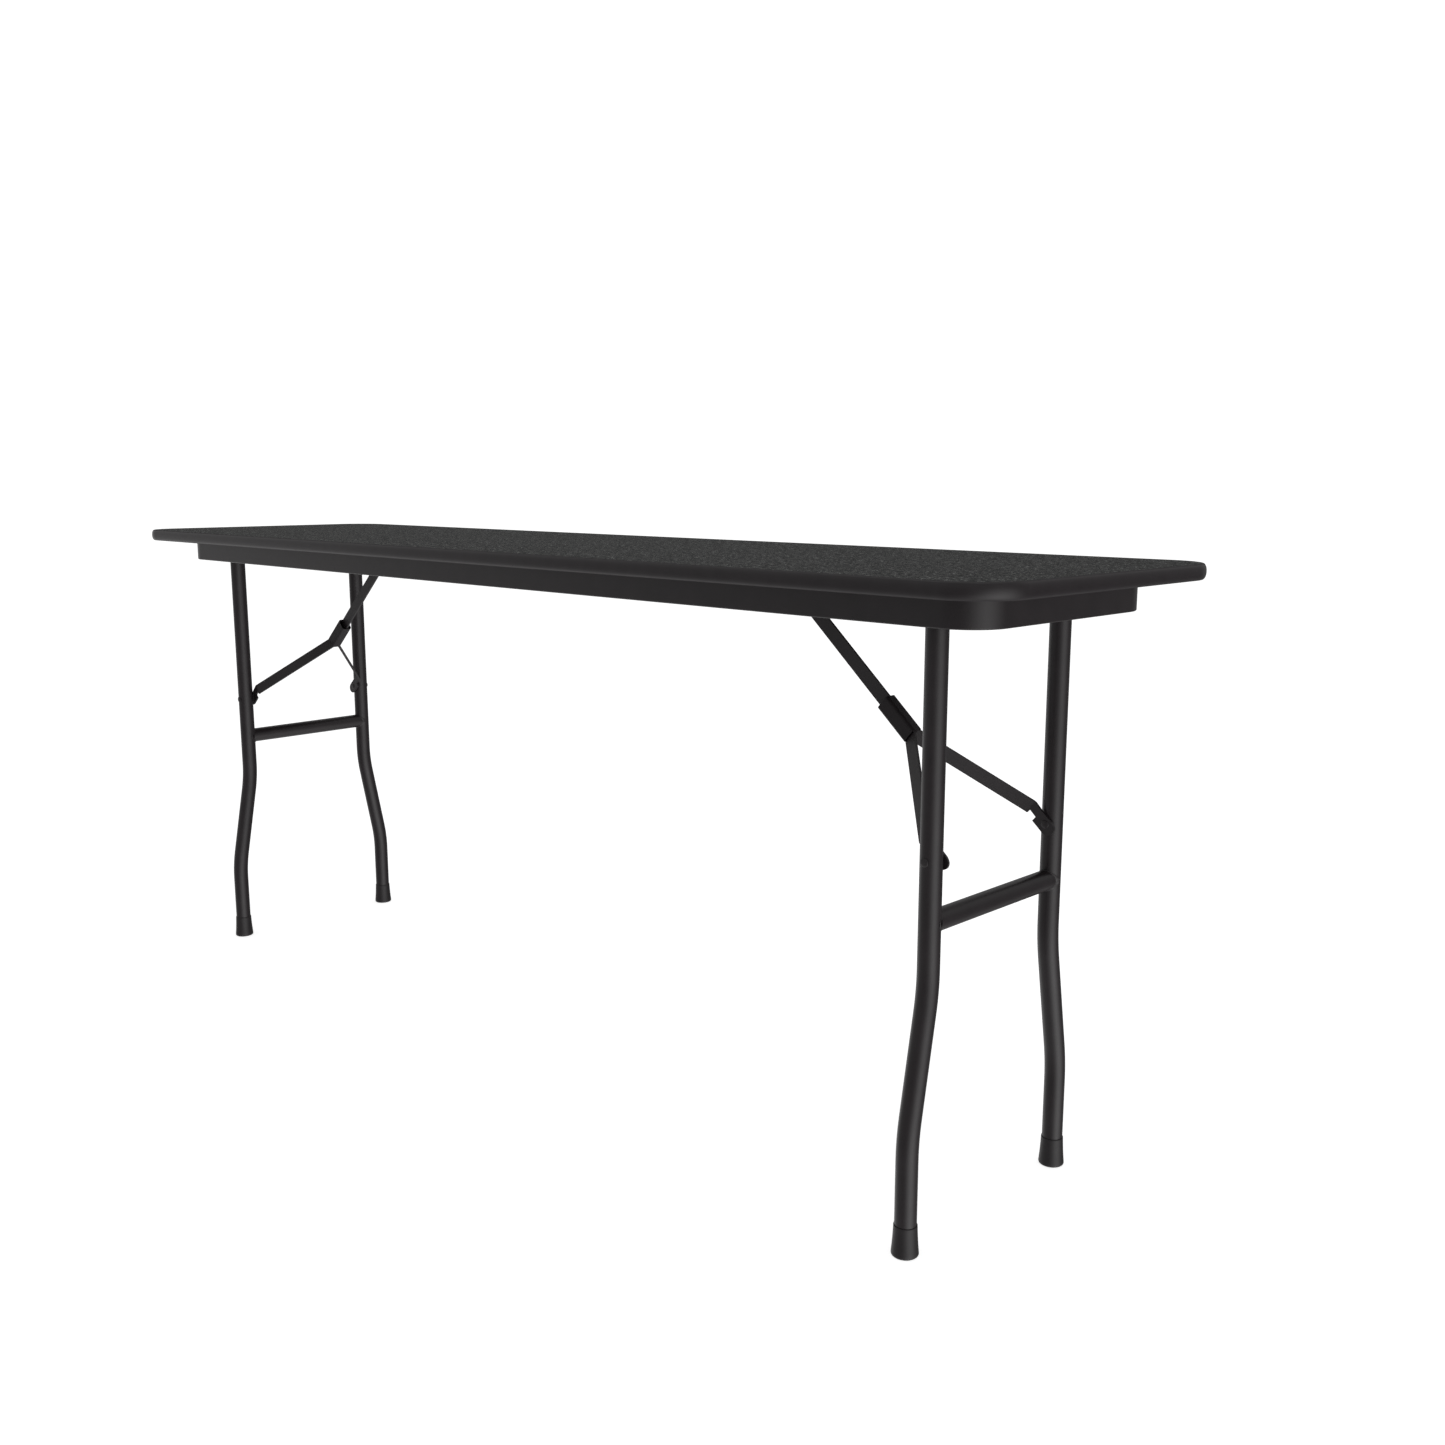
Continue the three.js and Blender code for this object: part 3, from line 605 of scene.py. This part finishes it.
# ---------------------------------------------------------------------------------------------
# Each leg is a length of black steel tube with two easy bends, which set the feet wider apart
# than the top. Its upper end is notched over the rail and welded to it.
tube_radius = 0.0125
tube_wall = 0.0014
tube_sides = 48
leg_top = 0.7035
upper_y = 0.1182
lower_y = 0.1479
upper_bend_z = 0.2971
lower_bend_z = 0.1347
bend_reach = 0.024
tube_bend_steps = 8
leg_bottom = 0.005
slope = math.atan2(lower_y - upper_y, upper_bend_z - lower_bend_z)
bend_arc = bend_reach / math.tan(slope / 2)
slant = math.hypot(lower_y - upper_y, upper_bend_z - lower_bend_z) - 2 * bend_reach

for frame_name, end in ends:
    for row, side in rows:
        leg = bmesh.new()
        x = end * leg_x
        section = round_section(leg, (x, side * upper_y, leg_top), tube_radius, tube_sides)
        first_centre = (x, side * (upper_y + bend_arc), upper_bend_z + bend_reach)
        second_centre = (x, side * (lower_y - bend_arc), lower_bend_z - bend_reach)
        drawn_out(leg, section, [
            Vector((0, 0, upper_bend_z + bend_reach - leg_top)),
            (first_centre, (1, 0, 0), side * slope, tube_bend_steps),
            Vector((0, side * slant * math.sin(slope), -slant * math.cos(slope))),
            (second_centre, (1, 0, 0), -side * slope, tube_bend_steps),
            Vector((0, 0, leg_bottom - lower_bend_z + bend_reach)),
        ])
        bmesh.ops.remove_doubles(leg, verts=leg.verts, dist=1e-6)
        bmesh.ops.recalc_face_normals(leg, faces=leg.faces)
        set_piece(leg, f"{frame_name}_{row}_tube", f"{frame_name}_leg_frame", powder_coat,
                  [f"{frame_name}_{row}_leg"], sheet=tube_wall, sheet_side=-1.0, edge=tube_end_edge)

# ---------------------------------------------------------------------------------------------
# A straight tube is welded between the two legs of each frame, with a thin bead of weld round
# each end that the powder coat covers.
crossbar_z = 0.3733
crossbar_radius = 0.0123
crossbar_half = upper_y - 0.55 * tube_radius
bead_radius = 0.0011
bead_ripples = 28
bead_ripple_share = 0.06
bead_reach = 0.985 * tube_radius

for frame_name, end in ends:
    bar = bmesh.new()
    section = round_section(bar, (end * leg_x, -crossbar_half, crossbar_z), crossbar_radius, tube_sides,
                            across_y)
    drawn_out(bar, section, [Vector((0, 2 * crossbar_half, 0))])
    bmesh.ops.recalc_face_normals(bar, faces=bar.faces)
    set_piece(bar, f"{frame_name}_cross_tube", f"{frame_name}_leg_frame", powder_coat,
              [f"{frame_name}_crossbar"], sheet=tube_wall, sheet_side=-1.0, edge=tube_end_edge)
    for row, side in rows:
        bead = bmesh.new()
        rim = round_section(bead, (crossbar_radius, 0, 0), bead_radius, 10, across_y)
        ring = list({v for e in rim for v in e.verts})
        bmesh.ops.spin(bead, geom=ring + rim, cent=(0, 0, 0), axis=(0, 0, 1), dvec=(0, 0, 0),
                       angle=2 * math.pi, steps=96, use_merge=True)
        bmesh.ops.remove_doubles(bead, verts=bead.verts, dist=1e-6)
        # The bead is rippled, and lies on the round side of the leg.
        for v in bead.verts:
            ripple = 1 + bead_ripple_share * math.sin(bead_ripples * math.atan2(v.co.y, v.co.x))
            core = Vector((v.co.x, v.co.y, 0)).normalized() * crossbar_radius
            v.co = core + (v.co - core) * ripple
            v.co.z += math.sqrt(tube_radius ** 2 - min(abs(v.co.x), bead_reach) ** 2)
        bmesh.ops.recalc_face_normals(bead, faces=bead.faces)
        bead.transform(Matrix.Translation((end * leg_x, side * upper_y, crossbar_z))
                       @ Matrix.Rotation(side * math.pi / 2, 4, "X"))
        set_piece(bead, f"{frame_name}_{row}_weld_bead", f"{frame_name}_leg_frame",
                  powder_coat)

# ---------------------------------------------------------------------------------------------
# The foot caps are moulded in black plastic and pushed over the ends of the legs. They flare to
# a wider, rounded foot and end in a thin lip round the tube.
foot_plastic = coat("moulded_black_plastic", (0.0150, 0.0118, 0.0134), 0.42, peel_scale=1600.0,
                    peel_depth=0.00004)
cap_profile = [
    (0.0, 0.0000), (0.0130, 0.0), (0.0143, 0.0003), (0.0151, 0.0010), (0.0155, 0.0021),
    (0.0155, 0.0033), (0.0151, 0.0075), (0.0146, 0.0130), (0.0141, 0.0200), (0.01365, 0.0285),
    (0.01345, 0.0335), (0.01340, 0.0352), (0.01325, 0.0359), (0.01300, 0.0360), (0.01265, 0.0357),
    (0.01262, 0.0300), (0.01260, 0.0047), (0.0, 0.0047),
]
for frame_name, end in ends:
    for row, side in rows:
        cap = turned(cap_profile, steps=56)
        bmesh.ops.translate(cap, vec=(end * leg_x, side * lower_y, 0), verts=cap.verts)
        set_piece(cap, f"{frame_name}_{row}_cap", f"{frame_name}_leg_frame", foot_plastic,
                  [f"{frame_name}_{row}_foot_cap"], sharp=60.0)

# ---------------------------------------------------------------------------------------------
# The brace of each frame starts as a flat steel strut, which swings from a bracket under the top
# and carries the knuckle at its lower end.
brace_angle = math.radians(41.4)
rivet_z = 0.442
brace_drop = rail_height - rivet_z
brace_length = brace_drop / math.sin(brace_angle)
strut_pin_x = leg_x - brace_drop / math.tan(brace_angle)
arm_length = (brace_length - (leg_x - brace_drop - strut_pin_x)) / 2
strut_length = brace_length - arm_length
strip_width = 0.0181
strip_sheet = 0.003
strip_edge = 0.0005
knuckle = Vector((leg_x - arm_length * math.cos(brace_angle), 0,
                  rivet_z + arm_length * math.sin(brace_angle)))
along_brace = Matrix.Translation(knuckle) @ Matrix.Rotation(brace_angle, 4, "Y")
half_turn = Matrix.Rotation(math.pi, 4, "Z")


def in_brace(end):
    """From a brace drawn along +X from its knuckle to its place in the table."""
    return along_brace if end > 0 else half_turn @ along_brace


def flat_blank(start, finish, width):
    """A strip of sheet with round ends, in the XZ plane."""
    blank = bmesh.new()
    bmesh.ops.create_grid(blank, x_segments=1, y_segments=1, size=0.5,
                          matrix=Matrix.Rotation(math.pi / 2, 4, "X"))
    bmesh.ops.scale(blank, vec=(finish - start, 1, width), verts=blank.verts)
    bmesh.ops.translate(blank, vec=((finish + start) / 2, 0, 0), verts=blank.verts)
    rounded(blank, blank.verts[:], width / 2 - 1e-6, segments=12, affect="VERTICES")
    return blank


brace_coat = coat("brace_powder_coat", (0.0185, 0.0145, 0.0164), 0.40, peel_scale=1100.0,
                  peel_depth=0.00007)
for frame_name, end in ends:
    strut = flat_blank(-strut_length - strip_width / 2, strip_width / 2, strip_width)
    strut.transform(in_brace(end))
    set_piece(strut, f"{frame_name}_strut_bar", f"{frame_name}_strut", brace_coat,
              [f"{frame_name}_upper_strut"], sheet=strip_sheet, edge=strip_edge, edge_segments=3)

# ---------------------------------------------------------------------------------------------
# Two arms of the same flat steel lie either side of the strut at the knuckle, part below the lock
# ring and run out to the legs. Each ends in a notched tab, bent to lie against its leg.
flare_start = 0.0278
flare_end = arm_length - 0.0274
arm_play = 0.0003
arm_y = strip_sheet + arm_play
tab_y = 0.1033
tab_radius = 0.0103
tab_top = 0.0082
tab_tail = 0.0035
notch_lead = 0.0012
notch_start = flare_end + 0.0015
notch_end = notch_start + 0.0115
notch_depth = 0.006
relief_depth = 0.0037
relief_end = 0.030
relief_steps = 10
arm_bend = 0.004
arm_bend_steps = 6
flare = math.atan2(tab_y - arm_y, flare_end - flare_start)
arm_slack = (flare_end - flare_start) / math.cos(flare) - (flare_end - flare_start)


def cut_across(shape, x):
    cut_through(shape, (x, 0, 0), (1, 0, 0))


def arm_blank():
    """The arm before bending, longer by the slack that the flare takes up."""
    arm = flat_blank(-strip_width / 2, arm_length + arm_slack + strip_width / 2, strip_width)
    notch_left = notch_start + arm_slack
    notch_right = notch_end + arm_slack
    notch_top = -strip_width / 2 + notch_depth
    for x in (notch_left - notch_lead, notch_left, notch_right):
        cut_across(arm, x)
    cut_through(arm, (0, 0, notch_top), (0, 0, 1))
    notch = [f for f in arm.faces if notch_left < f.calc_center_median().x < notch_right
             and f.calc_center_median().z < notch_top]
    bmesh.ops.delete(arm, geom=notch, context="FACES")
    tab = [v for v in arm.verts if v.co.x > notch_right - 1e-5]
    tip = [v for v in tab if v.co.x > arm_length + arm_slack]
    below = tab_radius / (strip_width / 2)
    above = tab_top / (strip_width / 2)
    around_rivet = Matrix.Translation((-arm_length - arm_slack, 0, 0))
    for points, grow in (([v for v in tab if v.co.z < 0], (1, 1, below)),
                         ([v for v in tab if v.co.z > 0], (1, 1, above)),
                         (tip, (below, 1, 1))):
        bmesh.ops.scale(arm, vec=grow, verts=points, space=around_rivet)
    bmesh.ops.translate(arm, vec=(tab_tail, 0, 0), verts=tip)
    for step in range(relief_steps + 1):
        cut_across(arm, relief_end * step / relief_steps)
    for v in arm.verts:
        if 0 < v.co.x < relief_end and v.co.z < -strip_width / 2 + 0.0001:
            v.co.z += relief_depth * math.sin(math.pi * v.co.x / relief_end)
    return arm


def score_bend(shape, x, angle):
    """Cuts the fold lines of one bend, and gives the place and angle of each fold."""
    length = arm_bend * abs(angle)
    for step in range(arm_bend_steps + 1):
        cut_across(shape, x - length / 2 + length * step / arm_bend_steps)
    return [(x - length / 2 + length * (step + 0.5) / arm_bend_steps, angle / arm_bend_steps)
            for step in range(arm_bend_steps)]


def arm_of(frame_name, row, end):
    """The left-hand brace is turned half round, so its rows change places."""
    if end < 0:
        row = "back" if row == "front" else "front"
    return f"{frame_name}_{row}"


for frame_name, end in ends:
    for row, side in rows:
        arm = arm_blank()
        folds = score_bend(arm, flare_start, side * flare)
        folds += score_bend(arm, flare_end + arm_slack, -side * flare)
        for line, angle in reversed(folds):
            bmesh.ops.rotate(arm, verts=[v for v in arm.verts if v.co.x > line], cent=(line, 0, 0),
                             matrix=Matrix.Rotation(angle, 3, "Z"))
        bmesh.ops.translate(arm, vec=(0, side * arm_y, 0), verts=arm.verts)
        arm.transform(in_brace(end))
        arm_name = arm_of(frame_name, row, end)
        set_piece(arm, f"{arm_name}_arm_bar", f"{frame_name}_arms", brace_coat,
                  [f"{arm_name}_lower_arm"], sheet=strip_sheet, edge=strip_edge, edge_segments=3)

# ---------------------------------------------------------------------------------------------
# Steel rivets join the strut to the arms, the strut to its bracket and the arms to the legs.
# Their domed heads are painted with the frame.
rivet_radius = 0.003
rivet_head = 0.0052
rivet_rise = 0.0013
rivet_sunk = 0.0003
pin_head = 0.005
pin_rise = 0.0018
pin_play = 0.0002


def headed_pin(head_radius, low, high, low_rise, high_rise):
    """A pin along Y, with a domed head at each end that has a rise."""
    profile = [(0.0, low)]
    if low_rise:
        profile = [(radius, low - rise) for radius, rise in reversed(dome(head_radius, low_rise))]
    profile += [(rivet_radius, low), (rivet_radius, high)]
    if high_rise:
        profile += [(radius, high + rise) for radius, rise in dome(head_radius, high_rise)]
    else:
        profile.append((0.0, high))
    pin = turned(profile, steps=32)
    pin.transform(Matrix.Rotation(-math.pi / 2, 4, "X"))
    return pin


for frame_name, end in ends:
    grip = arm_y + strip_sheet / 2 + pin_play
    rivet = headed_pin(pin_head, -grip, grip, pin_rise, pin_rise)
    rivet.transform(in_brace(end))
    set_piece(rivet, f"{frame_name}_knuckle_pin", f"{frame_name}_arms", brace_coat,
              [f"{frame_name}_knuckle_rivet"], sharp=50.0)
    for row, side in rows:
        face = tab_y - strip_sheet / 2
        span = sorted((side * face, side * (face + strip_sheet)))
        rises = (0.0, rivet_rise) if side < 0 else (rivet_rise, 0.0)
        head = headed_pin(rivet_head, *span, *rises)
        head.transform(in_brace(end) @ Matrix.Translation((arm_length, 0, 0)))
        arm_name = arm_of(frame_name, row, end)
        set_piece(head, f"{arm_name}_arm_rivet", f"{frame_name}_arms", brace_coat,
                  [f"{arm_name}_arm_rivet_head"], sharp=50.0)
        span = sorted((side * (upper_y - tube_radius + rivet_sunk), side * (upper_y + tube_radius)))
        rivet = headed_pin(rivet_head, *span, *reversed(rises))
        rivet.transform(Matrix.Translation((end * leg_x, 0, rivet_z)))
        set_piece(rivet, f"{frame_name}_{row}_tube_rivet", f"{frame_name}_leg_frame",
                  brace_coat, [f"{frame_name}_{row}_leg_rivet"], sharp=50.0)

# ---------------------------------------------------------------------------------------------
# The lock ring is a short sleeve of black painted steel, which slides down over the knuckle to
# hold the brace straight. Its paint has a coarse grain.
ring_width = 0.0174
ring_height = 0.0214
ring_wall = 0.001
ring_corner = 0.0040
ring_edge = 0.0003
ring_above = 0.0243
ring_below = 0.0294

ring_coat = coat("grained_black_paint", (0.0170, 0.0132, 0.0150), 0.52, peel_scale=1500.0,
                 peel_depth=0.00012, grit=0.2, shine=0.32)
for frame_name, end in ends:
    ring = block((ring_above + ring_below, ring_width, ring_height), ((ring_below - ring_above) / 2, 0, 0))
    rounded(ring, edges_along(ring, 0, ring_above), ring_corner, segments=10)
    bmesh.ops.delete(ring, geom=[f for f in ring.faces if abs(f.normal.x) > 0.9], context="FACES_ONLY")
    ring.transform(in_brace(end))
    set_piece(ring, f"{frame_name}_ring", f"{frame_name}_ring", ring_coat,
              [f"{frame_name}_lock_ring"], sheet=ring_wall, sheet_side=-1.0, edge=ring_edge,
              edge_segments=3)

# ---------------------------------------------------------------------------------------------
# The strut's upper end turns on a pin between two ears, which are bent down from a plate screwed
# up under the board.
ear_sheet = 0.002
ear_radius = 0.009
ear_play = 0.0006
ear_gap = strip_sheet / 2 + ear_play
ear_root = 0.0005
plate_half = 0.015
plate_back = 0.011
plate_front = 0.047
plate_corner = 0.004
plate_low = apron_high - ear_sheet
hanger_edge = 0.0003

for frame_name, end in ends:
    plate = block((plate_front + plate_back, 2 * plate_half, ear_sheet),
                  ((plate_front - plate_back) / 2, 0, plate_low + ear_sheet / 2))
    rounded(plate, edges_along(plate, 2, ear_sheet / 2), plate_corner, segments=6)
    for side in (-1, 1):
        drop = plate_low + ear_root - rail_height + ear_radius
        ear = block((2 * ear_radius, ear_sheet, drop),
                    (0, side * (ear_gap + ear_sheet / 2), rail_height - ear_radius + drop / 2))
        toes = [e for e in edges_along(ear, 1, ear_sheet / 2)
                if max(v.co.z for v in e.verts) < rail_height]
        rounded(ear, toes, ear_radius - 1e-5, segments=12)
        joined(plate, ear, Matrix.Identity(4))
        ear.free()
    place = Matrix.Translation((strut_pin_x, 0, 0))
    plate.transform(place if end > 0 else half_turn @ place)
    set_piece(plate, f"{frame_name}_strut_hanger", "table", powder_coat,
              [f"{frame_name}_strut_bracket"], edge=hanger_edge)
    grip = ear_gap + ear_sheet + pin_play
    pin = headed_pin(pin_head, -grip, grip, pin_rise, pin_rise)
    pin.transform(Matrix.Translation((end * strut_pin_x, 0, rail_height)))
    set_piece(pin, f"{frame_name}_hanger_pin", "table", brace_coat,
              [f"{frame_name}_strut_pin"], sharp=50.0)

# ---------------------------------------------------------------------------------------------
# A plain pale floor in a plain studio. The walls are darkest just below eye level, with a bright
# soft patch low on the right and smaller ones round the room. The floor stays out of reflections.
floor_shape = bmesh.new()
bmesh.ops.create_grid(floor_shape, x_segments=1, y_segments=1, size=40.0)
floor_mesh = bpy.data.meshes.new("floor")
floor_shape.to_mesh(floor_mesh)
floor_shape.free()
floor = bpy.data.objects.new("floor", floor_mesh)
scene.collection.objects.link(floor)
floor_paint, tree, shader, where = new_finish("floor_paint", grey(0.8), 0.9, specular=0.0)
tree.links.new(ramp(tree, noise(tree, where, 2.0, 2.0), [(0.3, grey(0.79)), (0.7, grey(0.81))]),
               shader.inputs["Base Color"])
shader.inputs["Emission Color"].default_value = (1.0, 1.0, 1.0, 1.0)
shader.inputs["Emission Strength"].default_value = 0.77
# The floor is clear from below, so that the underside of the table can be seen.
clear = tree.nodes.new("ShaderNodeBsdfTransparent")
one_way = tree.nodes.new("ShaderNodeMixShader")
tree.links.new(tree.nodes.new("ShaderNodeNewGeometry").outputs["Backfacing"], one_way.inputs[0])
tree.links.new(shader.outputs["BSDF"], one_way.inputs[1])
tree.links.new(clear.outputs["BSDF"], one_way.inputs[2])
tree.links.new(one_way.outputs["Shader"], tree.nodes["Material Output"].inputs["Surface"])
floor_mesh.materials.append(floor_paint)
floor.visible_glossy = False
floor.visible_diffuse = False
floor.visible_shadow = False

world = bpy.data.worlds.new("studio")
world.use_nodes = True
scene.world = world
studio = world.node_tree
walls = studio.nodes["Background"]
walls.inputs["Color"].default_value = (1.0, 1.0, 1.0, 1.0)
direction = studio.nodes.new("ShaderNodeTexCoord").outputs["Generated"]


def sums(operation, first, second):
    step = studio.nodes.new("ShaderNodeMath")
    step.operation = operation
    for socket, value in zip(step.inputs, (first, second)):
        if isinstance(value, bpy.types.NodeSocket):
            studio.links.new(value, socket)
        else:
            socket.default_value = value
    return step.outputs[0]


def glow(azimuth, elevation, brightness, tightness):
    """A soft patch of light on the studio walls, at an angle from +X towards +Y."""
    a, e = math.radians(azimuth), math.radians(elevation)
    facing = studio.nodes.new("ShaderNodeVectorMath")
    facing.operation = "DOT_PRODUCT"
    facing.inputs[1].default_value = (math.cos(a) * math.cos(e), math.sin(a) * math.cos(e), math.sin(e))
    studio.links.new(direction, facing.inputs[0])
    lit = sums("MAXIMUM", facing.outputs["Value"], 0.0)
    return sums("MULTIPLY", sums("POWER", lit, tightness), brightness)


height = studio.nodes.new("ShaderNodeSeparateXYZ")
studio.links.new(direction, height.inputs["Vector"])
light_level = ramp(studio, spread(studio, height.outputs["Z"], 0.0, 1.0, -1.0), [
    (0.00, grey(0.65)),
    (0.14, grey(0.42)),
    (0.26, grey(0.25)),
    (0.37, grey(0.19)),
    (0.50, grey(0.26)),
    (0.60, grey(0.30)),
    (0.74, grey(0.44)),
    (1.00, grey(0.42)),
])
# Azimuth, elevation, brightness and tightness; the last patch is a darker one.
for patch in ((-9.0, -30.0, 1.80, 6.0), (215.0, -10.0, 0.12, 3.0), (172.0, -22.0, 0.55, 8.0),
              (60.0, -15.0, -0.08, 5.0)):
    light_level = sums("ADD", light_level, glow(*patch))
seen = studio.nodes.new("ShaderNodeLightPath").outputs["Is Camera Ray"]
backdrop = studio.nodes.new("ShaderNodeMix")
studio.links.new(seen, backdrop.inputs[0])
studio.links.new(light_level, backdrop.inputs[2])
backdrop.inputs[3].default_value = 1.05
studio.links.new(backdrop.outputs[0], walls.inputs["Strength"])

overhead_light = bpy.data.lights.new("overhead", "AREA")
overhead_light.shape = "RECTANGLE"
overhead_light.size = 3.0
overhead_light.size_y = 1.8
overhead_light.energy = 12.0
overhead = bpy.data.objects.new("overhead", overhead_light)
overhead.location = (0.2, 0.2, 3.0)
scene.collection.objects.link(overhead)
